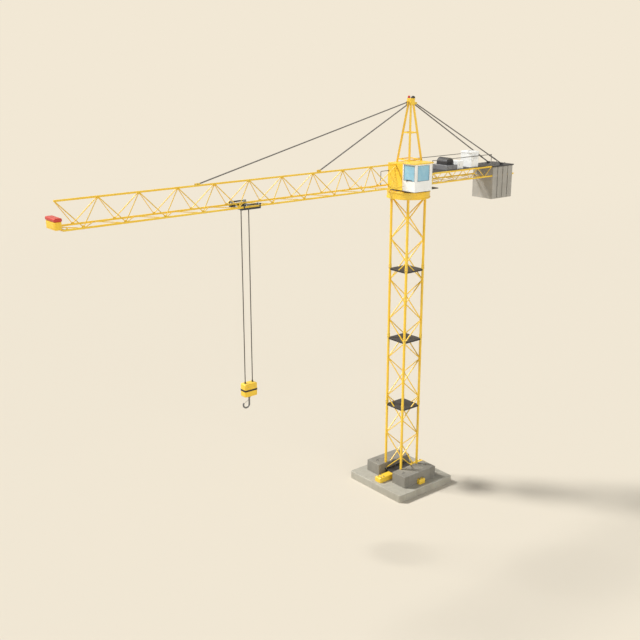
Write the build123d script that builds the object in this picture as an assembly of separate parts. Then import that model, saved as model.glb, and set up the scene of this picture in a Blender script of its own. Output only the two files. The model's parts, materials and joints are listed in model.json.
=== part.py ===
import os
from build123d import *

os.makedirs("parts", exist_ok=True)

# Driving dimensions in millimetres. +X runs out along the jib, +Y is the cab side and +Z is up.
# The origin is the middle of the foundation slab's underside, on the axis of the mast.

# Foundation slab, ballast blocks and the cross frame between them
slab_length = 5960
slab_width = 6030
slab_height = 630
slab_corner_round = 220
slab_edge_round = 70
ballast_length = 3510
ballast_inner_face = 790
ballast_outer_face = 2250
ballast_height = 945
ballast_edge_round = 45
pocket_clearance = 10
base_beam_width = 660
base_beam_height = 405
base_beam_round = 80
base_beam_reach_x = 2650
base_beam_reach_y = 2540
base_plate_thickness = 40
base_plate_margin = 25
base_plate_half_length = 1150

# Mast
mast_half_width = 900
leg_width = 140
brace_width = 65
brace_periods = 7
mast_top_height = 23805
landing_count = 3
landing_first_height = 6758
landing_thickness = 120

# Slewing ring and turntable
ring_radius = 1674
ring_height = 540
ring_lip = 40
ring_lip_height = 70
ring_wall = 40
race_radius = 1480
race_height = 60
race_bore_radius = 1050
race_spigot_depth = 35
running_gap = 0.3
turntable_height = 65
turntable_radius = 1440

# Turret box that carries the jib, the counter-jib and the tower head
turret_front = 1410
turret_rear = -1455
turret_shoulder = -960
turret_half_width = 830
turret_floor_rise = 30
turret_height = 1992.7
turret_wall = 40
core_front = 900
core_half_width = 387
core_height = 1280

# Cab and the platform below it
cab_rear = -261
cab_length = 1800
cab_inner_side = 860
cab_width = 1355
cab_wall_height = 1966
cab_wall = 55
cab_floor_thickness = 60
cab_roof_overhang = 95
cab_roof_thickness = 75
cab_roof_round = 34
cab_corner_round = 60
front_window_inner_margin = 150
front_window_outer_margin = 85
side_window_front_margin = 250
side_window_rear_margin = 350
cab_sill_height = 720
cab_window_head = 110
cab_glass_thickness = 14
platform_rear = -1640
platform_outer_side = 1560
platform_thickness = 60

# Tower head
head_base_half = 650
head_top_half = 139
head_height = 4200
head_leg_width = 165
head_tie_width = 80
head_lower_tie_share = 0.05
head_upper_tie_share = 0.522
apex_half = 215
apex_height = 500
apex_edge_round = 25
beacon_radius = 95
beacon_height = 175
beacon_round = 60
knob_radius = 165
cap_offset = 105

# Jib
jib_root_node = 1222
jib_pitch = 2711.6
jib_bays = 10
chord_width = 110
jib_foot_rise = 310.7
jib_depth = 1607
bottom_chord_half_spacing = 767
jib_brace_width = 46
jib_brace_landing_inset = 32
jib_brace_top_share = 0.6
jib_brace_foot_share = 0.7
top_chord_overhang = 20
tip_beam_setback = 198
tip_box_setback = 88
tip_box_length = 405
tip_box_half_width = 630
tip_box_rise = 60
tip_box_height = 475
tip_box_round = 20
tip_buffer_height = 220
tip_buffer_overhang = 45
tip_buffer_round = 85

# Counter-jib
counter_root_depth = 120
counter_truss_length = 6815
counter_chord_stub = 260
counter_half_spacing = 951
counter_foot_rise = 306.7
counter_depth = 756
counter_chord_width = 110
counter_brace_width = 42
counter_periods = 4
deck_thickness = 30
deck_side_gap = 16

# Handrails
rail_height = 925
rail_diameter = 55
rail_end_inset = 70
root_rail_length = 790
root_rail_height = 1010

# Winch and cabinets on the deck
winch_setback = 1765
winch_length = 1170
winch_half_width = 780
winch_base_height = 360
winch_base_round = 30
housing_wall = 40
hood_length = 800
hood_half_width = 520
hood_height = 540
hood_shoulder_share = 0.45
small_cabinet_gap = 170
small_cabinet_length = 620
small_cabinet_inner = -250
small_cabinet_outer = 700
small_cabinet_height = 580
tall_cabinet_gap = 890
tall_cabinet_length = 830
tall_cabinet_inner = -450
tall_cabinet_outer = 720
tall_cabinet_height = 1060
cabinet_edge_round = 25
cabinet_cap_height = 170
cabinet_cap_overhang = 25
cabinet_cap_round = 40

# Counterweight
weight_gap = 80
weight_slab_count = 4
weight_slab_length = 540
weight_groove = 80
weight_side_cover = 121
weight_height = 2593
weight_edge_round = 25
lid_thickness = 90
lid_overhang = 65
lid_drop = 100

# Stays
stay_width = 70
long_stay_share = 0.6586
short_stay_share = 0.2876
rear_stay_inset = 1610
rear_stay_half_spacing = 720
stay_drop = 200
stay_head_split = 85

# Trolley, at its place on the jib
trolley_share = 0.5142
trolley_half_length = 660
trolley_rail_width = 70
trolley_rail_height = 90
trolley_post_width = 45
trolley_side_gap = 16
trolley_under_gap = 25
wheel_radius = 85
wheel_width = 44
wheel_spacing = 960
wheel_hub_radius = 38
sheave_radius = 110
sheave_half_width = 400
sheave_axle_radius = 48
sheave_top_gap = 28
cheek_gap = 20
cheek_thickness = 40
tray_thickness = 40
tray_slot_gap = 25
rope_spacing = 612

# Hoist ropes, hook block and hook
rope_width = 76
rope_length = 12365
block_height = 950
block_half_length = 515
block_half_width = 315
block_edge_round = 95
block_lip_round = 76
block_wall = 60
band_height = 120
band_proud = 14
hook_bar_diameter = 120
hook_bowl_radius = 250
hook_drop = 930
hook_tip_angle = 20
hook_head_radius = 105
hook_head_height = 60
hook_seat_depth = 150

# Heights and places that follow from the sizes above
slab_top = slab_height
ballast_top = slab_top + ballast_height
brace_foot_height = slab_top + base_beam_height
brace_rise = (mast_top_height - brace_foot_height) / brace_periods / 2
leg_inner_face = mast_half_width - leg_width / 2
landing_spacing = (mast_top_height - landing_first_height) / landing_count
ring_top = mast_top_height + ring_height
race_top = ring_top + race_height
turntable_bottom = race_top + running_gap
turntable_top = turntable_bottom + turntable_height
turret_top_height = turntable_top + turret_height
head_top_height = turret_top_height + head_height
apex_top = head_top_height + apex_height

cab_front = cab_rear + cab_length
cab_outer_side = cab_inner_side + cab_width
cab_bottom = turntable_top + platform_thickness
cab_wall_top = cab_bottom + cab_floor_thickness + cab_wall_height

chord_half = chord_width / 2
jib_length = jib_bays * jib_pitch
jib_tip = jib_root_node + jib_length
bottom_chord_height = turntable_top + jib_foot_rise
top_chord_height = bottom_chord_height + jib_depth
bottom_chord_root = turret_front
tip_beam_start = jib_tip - tip_beam_setback
tip_box_start = jib_tip - tip_box_setback
tip_box_bottom = bottom_chord_height - chord_half + tip_box_rise

counter_half_chord = counter_chord_width / 2
counter_root = turret_rear - counter_root_depth
counter_truss_end = counter_root - counter_truss_length
counter_bottom_height = turntable_top + counter_foot_rise
counter_top_height = counter_bottom_height + counter_depth
counter_top_face = counter_top_height + counter_half_chord
deck_top = counter_top_face + deck_thickness
deck_half_width = counter_half_spacing - counter_half_chord - deck_side_gap
winch_front = counter_root - winch_setback
small_cabinet_front = winch_front - winch_length - small_cabinet_gap
tall_cabinet_front = small_cabinet_front - small_cabinet_length - tall_cabinet_gap

weight_front = counter_truss_end - weight_gap
weight_length = weight_slab_count * weight_slab_length + (weight_slab_count - 1) * weight_groove
weight_half_width = counter_half_spacing + weight_side_cover
weight_top = counter_top_face - lid_drop
weight_bottom = weight_top - weight_height
counter_chord_end = weight_front - weight_length - counter_chord_stub
rear_stay_foot = weight_front - rear_stay_inset
long_stay_foot = jib_root_node + long_stay_share * jib_length
short_stay_foot = jib_root_node + short_stay_share * jib_length

trolley_centre = jib_root_node + trolley_share * jib_length
trolley_low = bottom_chord_height - chord_half - trolley_under_gap - trolley_rail_height
sheave_height = bottom_chord_height - jib_brace_width / 2 - sheave_top_gap - sheave_radius
sheave_offset = rope_spacing / 2 + rope_width / 2 + running_gap + sheave_radius
cheek_face = sheave_half_width + cheek_gap
block_top = sheave_height - rope_length
block_low = block_top - block_height
hook_low_point = block_low - hook_drop


def span_box(x_low, x_high, y_low, y_high, z_low, z_high):
    size = Box(x_high - x_low, y_high - y_low, z_high - z_low)
    return Pos((x_low + x_high) / 2, (y_low + y_high) / 2, (z_low + z_high) / 2) * size


def inner_void(x_low, x_high, y_low, y_high, z_low, z_high, wall):
    return span_box(x_low + wall, x_high - wall, y_low + wall, y_high - wall, z_low + wall, z_high - wall)


def square_bar(start, end, width, side):
    start = Vector(*start)
    run = Vector(*end) - start
    section = Plane(origin=start, x_dir=Vector(*side), z_dir=run) * Rectangle(width, width)
    return extrude(section, run.length)


def zigzag(points, width, side):
    bars = [square_bar(a, b, width, side) for a, b in zip(points, points[1:])]
    return Part() + bars


def round_tube(points, diameter):
    bars = []
    for a, b in zip(points, points[1:]):
        run = Vector(*b) - Vector(*a)
        bars.append(extrude(Plane(origin=a, z_dir=run) * RegularPolygon(diameter / 2, 8), run.length))
    return Part() + bars


# Foundation
def foundation_slab():
    slab = span_box(-slab_length / 2, slab_length / 2, -slab_width / 2, slab_width / 2, 0, slab_height)
    slab = fillet(slab.edges().filter_by(Axis.Z), slab_corner_round)
    return fillet(slab.faces().sort_by(Axis.Z)[-1].edges(), slab_edge_round)


def brace_points(face, count):
    points = []
    for k in range(count + 1):
        height = brace_foot_height + k * brace_rise
        near = mast_half_width if k % 2 else -mast_half_width
        if face == "cab_side":
            points.append((near, mast_half_width, height))
        elif face == "far_side":
            points.append((-near, -mast_half_width, height))
        elif face == "jib_side":
            points.append((mast_half_width, near, height))
        else:
            points.append((-mast_half_width, -near, height))
    return points


def face_normal(face):
    return (0, 1, 0) if face in ("cab_side", "far_side") else (1, 0, 0)


def ballast_block(side):
    y_low, y_high = sorted((side * ballast_inner_face, side * ballast_outer_face))
    half = ballast_length / 2
    block = span_box(-half, half, y_low, y_high, slab_top, ballast_top)
    rounded = block.edges().group_by(Axis.Z)[-1] + block.edges().filter_by(Axis.Z)
    block = fillet(rounded, ballast_edge_round)
    pocket = leg_width / 2 + pocket_clearance
    for x in (-mast_half_width, mast_half_width):
        y = side * mast_half_width
        block -= span_box(x - pocket, x + pocket, y - pocket, y + pocket, slab_top, ballast_top)
    for face in ("cab_side" if side > 0 else "far_side", "jib_side", "rear_side"):
        foot, head = brace_points(face, 1)
        block -= square_bar(foot, head, brace_width + 2 * pocket_clearance, face_normal(face))
    channel = base_beam_width / 2 + pocket_clearance
    tunnel_top = slab_top + base_beam_height + pocket_clearance
    return block - span_box(-channel, channel, y_low, y_high, slab_top, tunnel_top)


def base_beam(reach, along):
    half = base_beam_width / 2
    x, y = (reach, half) if along == "x" else (half, reach)
    beam = span_box(-x, x, -y, y, slab_top, slab_top + base_beam_height)
    top = beam.faces().sort_by(Axis.Z)[-1].edges()
    return fillet(top + beam.edges().filter_by(Axis.Z), base_beam_round)


def base_cross_frame():
    return base_beam(base_beam_reach_x, "x") + base_beam(base_beam_reach_y, "y")


def base_plate():
    low = slab_top + base_beam_height
    half_x = base_plate_half_length
    half_y = ballast_inner_face - base_plate_margin
    return span_box(-half_x, half_x, -half_y, half_y, low, low + base_plate_thickness)


# Mast
def mast_leg(x, y):
    half = leg_width / 2
    return span_box(x - half, x + half, y - half, y + half, slab_top, mast_top_height)


def mast_bracing(face):
    lattice = zigzag(brace_points(face, 2 * brace_periods), brace_width, face_normal(face))
    reach = leg_inner_face
    full = mast_half_width + leg_width
    x, y = (reach, full) if face in ("cab_side", "far_side") else (full, reach)
    return lattice & span_box(-x, x, -y, y, slab_top, mast_top_height)


def mast_side(face):
    y = mast_half_width if face == "cab_side" else -mast_half_width
    return mast_bracing(face) + mast_leg(-mast_half_width, y) + mast_leg(mast_half_width, y)


def landing_plate(height):
    half = mast_half_width + leg_width / 2
    low = height - landing_thickness / 2
    plate = span_box(-half, half, -half, half, low, low + landing_thickness)
    for x in (-mast_half_width, mast_half_width):
        for y in (-mast_half_width, mast_half_width):
            plate -= Pos(x, y, height) * Box(leg_width, leg_width, 2 * landing_thickness)
    first = int((low - brace_foot_height) / brace_rise)
    last = int((low + landing_thickness - brace_foot_height) / brace_rise)
    for face in ("cab_side", "far_side", "jib_side", "rear_side"):
        points = brace_points(face, last + 1)
        plate -= zigzag(points[first:], brace_width + 2 * pocket_clearance, face_normal(face))
    return plate


def mast_landings():
    heights = [landing_first_height + k * landing_spacing for k in range(landing_count)]
    return Compound(children=[base_plate()] + [landing_plate(height) for height in heights])


# Slewing ring
def slewing_ring():
    drum = Circle(ring_radius - ring_lip)
    body = Pos(0, 0, mast_top_height) * extrude(drum, ring_height)
    void = extrude(Circle(ring_radius - ring_lip - ring_wall), ring_height - 2 * ring_wall)
    body -= Pos(0, 0, mast_top_height + ring_wall) * void
    lip = extrude(Circle(ring_radius) - drum, ring_lip_height)
    body += Pos(0, 0, mast_top_height) * lip
    body += Pos(0, 0, ring_top - ring_lip_height) * lip
    return body + Pos(0, 0, ring_top) * extrude(Circle(race_radius) - Circle(race_bore_radius), race_height)


def turntable():
    spigot = extrude(Circle(race_bore_radius - running_gap), race_spigot_depth + turntable_height)
    disc = extrude(Circle(turntable_radius), turntable_height)
    sides = (turret_half_width, platform_outer_side)
    plate = span_box(platform_rear, cab_front, *sides, turntable_top, cab_bottom)
    table = Pos(0, 0, turntable_bottom) * disc + Pos(0, 0, turntable_bottom - race_spigot_depth) * spigot
    return table + plate


# Turret
def turret_frame():
    half, core = turret_half_width, core_half_width
    floor = turntable_top + turret_floor_rise
    box = (turret_shoulder, turret_front, -half, half, floor, turret_top_height)
    spine = (turret_rear, core_front, -core, core, turntable_top, turntable_top + core_height)
    frame = span_box(*box) + span_box(*spine)
    return frame - inner_void(*box, turret_wall) - inner_void(*spine, turret_wall)


# Cab
def cab_outline(inset):
    width = cab_front - cab_rear - 2 * inset
    depth = cab_outer_side - cab_inner_side - 2 * inset
    centre = Pos((cab_front + cab_rear) / 2, (cab_outer_side + cab_inner_side) / 2)
    return centre * RectangleRounded(width, depth, max(cab_corner_round - inset, 5))


def window_cut(wall):
    low = cab_bottom + cab_floor_thickness + cab_sill_height
    high = cab_wall_top - cab_window_head
    x_low, x_high = cab_rear + side_window_rear_margin, cab_front - side_window_front_margin
    y_low, y_high = cab_inner_side + front_window_inner_margin, cab_outer_side - front_window_outer_margin
    if wall == "front":
        return span_box(cab_front - cab_wall, cab_front, y_low, y_high, low, high)
    if wall == "rear":
        return span_box(cab_rear, cab_rear + cab_wall, y_low, y_high, low, high)
    return span_box(x_low, x_high, cab_outer_side - cab_wall, cab_outer_side, low, high)


def cab_shell():
    shell = Pos(0, 0, cab_bottom) * extrude(cab_outline(0), cab_floor_thickness + cab_wall_height)
    shell -= Pos(0, 0, cab_bottom + cab_floor_thickness) * extrude(cab_outline(cab_wall), cab_wall_height)
    for wall in ("front", "rear", "side"):
        shell -= window_cut(wall)
    return shell


def cab_windows():
    setback = (cab_wall - cab_glass_thickness) / 2
    panes = []
    for wall in ("front", "rear", "side"):
        opening = window_cut(wall).bounding_box()
        low, high = opening.min, opening.max
        if wall == "side":
            pane = span_box(low.X, high.X, low.Y + setback, high.Y - setback, low.Z, high.Z)
        else:
            pane = span_box(low.X + setback, high.X - setback, low.Y, high.Y, low.Z, high.Z)
        panes.append(pane)
    return Compound(children=panes)


def cab_roof():
    roof = Pos(0, 0, cab_wall_top) * extrude(cab_outline(-cab_roof_overhang), cab_roof_thickness)
    return fillet(roof.faces().sort_by(Axis.Z)[-1].edges(), cab_roof_round)


# Tower head
def head_corner(x, y, height):
    share = (height - turret_top_height) / head_height
    half = head_base_half + share * (head_top_half - head_base_half)
    return (x * half, y * half, height)


def tower_head():
    bars = []
    corners = [(1, 1), (-1, 1), (-1, -1), (1, -1)]
    for x, y in corners:
        foot = head_corner(x, y, turret_top_height - head_leg_width)
        top = head_corner(x, y, head_top_height + head_leg_width)
        bars.append(square_bar(foot, top, head_leg_width, (x, -y, 0)))
    for share in (head_lower_tie_share, head_upper_tie_share):
        height = turret_top_height + share * head_height
        for a, b in zip(corners, corners[1:] + corners[:1]):
            ends = head_corner(*a, height), head_corner(*b, height)
            bars.append(square_bar(*ends, head_tie_width, (0, 0, 1)))
    reach = head_base_half + head_leg_width
    frame = (Part() + bars) & span_box(-reach, reach, -reach, reach, turret_top_height, head_top_height)
    return frame + apex_block()


def apex_block():
    half = apex_half
    block = span_box(-half, half, -half, half, head_top_height, apex_top)
    return fillet(block.edges(), apex_edge_round)


def beacon():
    foot = Pos(cap_offset, -cap_offset, apex_top)
    lens = extrude(Circle(beacon_radius), beacon_height)
    lens = fillet(lens.edges().sort_by(Axis.Z)[-1], beacon_round)
    return foot * lens


def sheave_cover():
    foot = Pos(-cap_offset, cap_offset, apex_top)
    dome = Sphere(knob_radius) & Pos(0, 0, knob_radius) * Box(3 * knob_radius, 3 * knob_radius, 2 * knob_radius)
    return foot * dome


# Jib
def top_chord():
    end = jib_tip + top_chord_overhang
    low = top_chord_height - chord_half
    return span_box(turret_front, end, -chord_half, chord_half, low, low + chord_width)


def bottom_chord(side):
    y = side * bottom_chord_half_spacing
    low = bottom_chord_height - chord_half
    return span_box(bottom_chord_root, tip_beam_start, y - chord_half, y + chord_half, low, low + chord_width)


def jib_side_bracing(side):
    landing = side * (bottom_chord_half_spacing - jib_brace_landing_inset)
    foot_height = bottom_chord_height + chord_half * jib_brace_foot_share
    points = []
    for k in range(jib_bays + 1):
        x = jib_tip - k * jib_pitch
        points.append((x, side * chord_half * jib_brace_top_share, top_chord_height))
        if k < jib_bays:
            points.append((x - jib_pitch / 2, landing, foot_height))
    slope = Vector(0, side * jib_depth, bottom_chord_half_spacing)
    bars = zigzag(points, jib_brace_width, tuple(slope.normalized()))
    y_low, y_high = sorted((0, 2 * side * bottom_chord_half_spacing))
    half = span_box(turret_front, jib_tip, y_low, y_high, 0, top_chord_height)
    return (bars & half) - top_chord() - bottom_chord(side)


def jib_bottom_bracing():
    points = []
    inner = bottom_chord_half_spacing
    for k in range(jib_bays):
        x = jib_tip - k * jib_pitch
        points.append((x, -inner, bottom_chord_height))
        points.append((x - jib_pitch / 2, inner, bottom_chord_height))
    reach = bottom_chord_half_spacing - chord_half
    clear = span_box(bottom_chord_root, tip_beam_start, -reach, reach, 0, turret_top_height)
    return zigzag(points, jib_brace_width, (0, 0, 1)) & clear


def tip_box():
    end = tip_box_start + tip_box_length
    half = tip_box_half_width
    top = tip_box_bottom + tip_box_height
    box = fillet(span_box(tip_box_start, end, -half, half, tip_box_bottom, top).edges(), tip_box_round)
    reach = bottom_chord_half_spacing + chord_half
    low = bottom_chord_height - chord_half
    return box + span_box(tip_beam_start, tip_box_start + tip_box_round, -reach, reach, low, low + chord_width)


def tip_buffer():
    low = tip_box_bottom + tip_box_height
    half = tip_box_half_width + tip_buffer_overhang
    start = tip_box_start - tip_buffer_overhang
    end = tip_box_start + tip_box_length + tip_buffer_overhang
    return fillet(span_box(start, end, -half, half, low, low + tip_buffer_height).edges(), tip_buffer_round)


# Counter-jib
def counter_side(side):
    y = side * counter_half_spacing
    half = counter_half_chord
    bottom_low = counter_bottom_height - half
    top_low = counter_top_height - half
    bottom = span_box(counter_chord_end, counter_root, y - half, y + half, bottom_low, bottom_low + 2 * half)
    top = span_box(counter_truss_end, counter_root, y - half, y + half, top_low, top_low + 2 * half)
    pitch = (counter_root - counter_truss_end) / counter_periods
    points = []
    for k in range(counter_periods + 1):
        x = counter_root - k * pitch
        points.append((x, y, counter_top_height))
        if k < counter_periods:
            points.append((x - pitch / 2, y, counter_bottom_height))
    between = span_box(counter_truss_end, counter_root, y - half, y + half, bottom_low, top_low + 2 * half)
    return bottom + top + (zigzag(points, counter_brace_width, (0, 1, 0)) & between)


def counter_floor_frame():
    pitch = (counter_root - counter_truss_end) / counter_periods
    inner = counter_half_spacing
    points = []
    for k in range(counter_periods + 1):
        x = counter_root - k * pitch
        points.append((x, -inner, counter_bottom_height))
        if k < counter_periods:
            points.append((x - pitch / 2, inner, counter_bottom_height))
    reach = counter_half_spacing - counter_half_chord
    clear = span_box(counter_truss_end, counter_root, -reach, reach, 0, counter_top_height)
    return counter_root_frame() + (zigzag(points, counter_brace_width, (0, 0, 1)) & clear)


def counter_root_frame():
    reach = counter_half_spacing + counter_half_chord
    half = counter_half_chord
    frame = []
    for height in (counter_bottom_height, counter_top_height):
        frame.append(span_box(counter_root, turret_rear, -reach, reach, height - half, height + half))
    for y in (-counter_half_spacing, counter_half_spacing):
        low, high = counter_bottom_height + half, counter_top_height - half
        frame.append(span_box(counter_root, turret_rear, y - half, y + half, low, high))
    return Part() + frame


def deck():
    half = deck_half_width
    return span_box(counter_truss_end, counter_root, -half, half, counter_top_face, deck_top)


# Handrails
def handrail(side):
    y = side * counter_half_spacing
    start = turret_rear - rail_diameter
    end = counter_truss_end + rail_end_inset
    top = counter_top_face + rail_height
    frame = round_tube([(start, y, top), (end, y, top)], rail_diameter)
    posts = []
    for x in (start - rail_diameter / 2, end + rail_diameter / 2):
        posts.append(round_tube([(x, y, counter_top_face), (x, y, top)], rail_diameter))
    return frame + posts


def root_handrail():
    y = -bottom_chord_half_spacing
    foot = bottom_chord_height + chord_half
    top = foot + root_rail_height
    end = turret_front + root_rail_length
    post = round_tube([(end, y, foot), (end, y, top)], rail_diameter)
    return post + round_tube([(turret_front, y, top), (end, y, top)], rail_diameter)


# Winch and cabinets
def winch_base():
    end = winch_front - winch_length
    half = winch_half_width
    base = span_box(end, winch_front, -half, half, deck_top, deck_top + winch_base_height)
    base = fillet(base.faces().sort_by(Axis.Z)[-1].edges(), winch_base_round)
    top = deck_top + winch_base_height
    return base - inner_void(end, winch_front, -half, half, deck_top, top, housing_wall)


def winch_hood():
    low = deck_top + winch_base_height
    centre = winch_front - winch_length / 2
    half = hood_length / 2
    shoulder = low + hood_height * hood_shoulder_share
    with BuildSketch(Plane.XZ) as outline:
        with BuildLine():
            left, right = centre - half, centre + half
            Polyline((left, shoulder), (left, low), (right, low), (right, shoulder))
            ThreePointArc((centre + half, shoulder), (centre, low + hood_height), (centre - half, shoulder))
        make_face()
    return extrude(outline.sketch, hood_half_width, both=True)


def cabinet(front, length, inner, outer, height):
    extents = (front - length, front, inner, outer, deck_top, deck_top + height)
    body = fillet(span_box(*extents).edges().filter_by(Axis.Z), cabinet_edge_round)
    return body - inner_void(*extents, housing_wall)


def small_cabinet():
    return cabinet(small_cabinet_front, small_cabinet_length, small_cabinet_inner, small_cabinet_outer,
                   small_cabinet_height)


def tall_cabinet():
    body = cabinet(tall_cabinet_front, tall_cabinet_length, tall_cabinet_inner, tall_cabinet_outer,
                   tall_cabinet_height)
    low = deck_top + tall_cabinet_height
    over = cabinet_cap_overhang
    cap = span_box(tall_cabinet_front - tall_cabinet_length - over, tall_cabinet_front + over,
                   tall_cabinet_inner - over, tall_cabinet_outer + over, low, low + cabinet_cap_height)
    return body + fillet(cap.edges(), cabinet_cap_round)


# Counterweight
def counterweight_slabs():
    slabs = []
    half = weight_half_width
    seat = counter_half_chord
    for k in range(weight_slab_count):
        front = weight_front - k * (weight_slab_length + weight_groove)
        slab = span_box(front - weight_slab_length, front, -half, half, weight_bottom, weight_top)
        slab = fillet(slab.edges().filter_by(Axis.Z) + slab.edges().group_by(Axis.Z)[0], weight_edge_round)
        for y in (-counter_half_spacing, counter_half_spacing):
            slab -= span_box(front - weight_slab_length, front, y - seat, y + seat,
                             counter_bottom_height - seat - pocket_clearance, counter_bottom_height + seat)
        slabs.append(slab)
    return Compound(children=slabs)


def counterweight_lid():
    half = weight_half_width + lid_overhang
    end = weight_front - weight_length - lid_overhang
    return span_box(end, counter_truss_end, -half, half, weight_top, weight_top + lid_thickness)


# Stays
def stay_head(x, y, drop):
    return (x, y, apex_top - drop)


def fore_stay(foot, drop):
    start = stay_head(0, 0, drop)
    end = (foot, 0, top_chord_height)
    return square_bar(start, end, stay_width, (0, 1, 0)) - apex_block() - top_chord()


def rear_stay(side):
    start = stay_head(0, side * apex_half / 2, stay_drop)
    end = (rear_stay_foot, side * rear_stay_half_spacing, weight_top + lid_thickness / 2)
    run = Vector(*end) - Vector(*start)
    across = run.cross(Vector(0, 0, 1)).normalized()
    return square_bar(start, end, stay_width, tuple(across)) - apex_block() - counterweight_lid()


def rear_stays():
    return Compound(children=[rear_stay(1), rear_stay(-1)])


# Trolley
def trolley_frame():
    inner = bottom_chord_half_spacing + chord_half + trolley_side_gap
    outer = inner + trolley_rail_width
    x_low, x_high = trolley_centre - trolley_half_length, trolley_centre + trolley_half_length
    axle = bottom_chord_height + chord_half + running_gap + wheel_radius
    upper_low = axle - trolley_rail_height / 2
    lower_high = bottom_chord_height - chord_half - trolley_under_gap
    lower_low = trolley_low
    post, beam = trolley_post_width, trolley_rail_width
    bars = []
    for side in (-1, 1):
        y = sorted((side * inner, side * outer))
        bars.append(span_box(x_low, x_high, *y, upper_low, upper_low + trolley_rail_height))
        bars.append(span_box(x_low, x_high, *y, lower_low, lower_high))
        for x in (x_low, x_high - post):
            bars.append(span_box(x, x + post, *y, lower_low, upper_low + trolley_rail_height))
    for x in (x_low, x_high - beam):
        bars.append(span_box(x, x + beam, -outer, outer, lower_low, lower_high))
    for side in (-1, 1):
        y = sorted((side * cheek_face, side * (cheek_face + cheek_thickness)))
        cheek_low = sheave_height - sheave_axle_radius - cheek_thickness
        bars.append(span_box(x_low, x_high, *y, cheek_low, lower_high))
    return (trolley_tray(x_low, x_high, outer) - sheave_slots()) + bars


def trolley_tray(x_low, x_high, half_width):
    return span_box(x_low, x_high, -half_width, half_width, trolley_low, trolley_low + tray_thickness)


def sheave_slots():
    inner = rope_spacing / 2 - rope_width / 2 - tray_slot_gap
    outer = sheave_offset + sheave_radius + tray_slot_gap
    slots = []
    for side in (-1, 1):
        x = sorted((trolley_centre + side * inner, trolley_centre + side * outer))
        slots.append(span_box(*x, -cheek_face, cheek_face, trolley_low, trolley_low + tray_thickness))
    return slots


def trolley_wheels():
    inner_face = bottom_chord_half_spacing + chord_half - wheel_width
    axle_end = bottom_chord_half_spacing + chord_half + trolley_side_gap
    height = bottom_chord_height + chord_half + running_gap + wheel_radius
    wheels = []
    for x in (trolley_centre - wheel_spacing / 2, trolley_centre + wheel_spacing / 2):
        for side in (-1, 1):
            place = Plane((x, side * inner_face, height), z_dir=(0, side, 0))
            tread = extrude(place * Circle(wheel_radius), wheel_width)
            hub = extrude(place * Circle(wheel_hub_radius), axle_end - inner_face)
            wheels.append(tread + hub)
    return wheels


def trolley_sheaves():
    rollers = []
    for x in (trolley_centre - sheave_offset, trolley_centre + sheave_offset):
        place = Plane((x, 0, sheave_height), z_dir=(0, 1, 0))
        drum = extrude(place * Circle(sheave_radius), sheave_half_width, both=True)
        rollers.append(drum + extrude(place * Circle(sheave_axle_radius), cheek_face, both=True))
    return rollers


def trolley_rollers():
    return Compound(children=trolley_wheels() + trolley_sheaves())


def hoist_rope(side):
    x = trolley_centre + side * rope_spacing / 2
    return round_tube([(x, 0, block_top), (x, 0, sheave_height)], rope_width)


def hoist_ropes():
    return Compound(children=[hoist_rope(1), hoist_rope(-1)])


# Hook block and hook
def block_outline(extra):
    length, width = 2 * (block_half_length + extra), 2 * (block_half_width + extra)
    return RectangleRounded(length, width, block_edge_round + extra)


def hook_block_housing():
    body = extrude(block_outline(0), block_height)
    body = fillet(body.edges().group_by(Axis.Z)[0] + body.edges().group_by(Axis.Z)[-1], block_lip_round)
    body = Pos(trolley_centre, 0, block_low) * body
    round_hole = Circle(hook_bar_diameter / 2 + running_gap)
    bore = Pos(trolley_centre, 0, block_low) * extrude(round_hole, hook_seat_depth)
    inside = block_half_length - block_wall, block_half_width - block_wall
    chamber = Box(2 * inside[0], 2 * inside[1], block_height - block_wall - hook_seat_depth)
    chamber_middle = (block_low + hook_seat_depth + block_top - block_wall) / 2
    return body - bore - Pos(trolley_centre, 0, chamber_middle) * chamber


def hook_block_band():
    low = block_top - block_height / 2 - band_height / 2
    return Pos(trolley_centre, 0, low) * extrude(block_outline(band_proud) - block_outline(0), band_height)


def hook():
    shank_top = block_low + hook_seat_depth + running_gap
    bowl_height = hook_low_point + hook_bar_diameter / 2 + hook_bowl_radius
    centre = trolley_centre + hook_bowl_radius
    with BuildLine(Plane.XZ) as path:
        Line((trolley_centre, shank_top), (trolley_centre, bowl_height))
        CenterArc((centre, bowl_height), hook_bowl_radius, 180, 180 + hook_tip_angle)
    section = Plane((trolley_centre, 0, shank_top), z_dir=(0, 0, -1)) * Circle(hook_bar_diameter / 2)
    bar = sweep(section, path=path.wire())
    return bar + Pos(trolley_centre, 0, shank_top) * extrude(Circle(hook_head_radius), hook_head_height)


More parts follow.
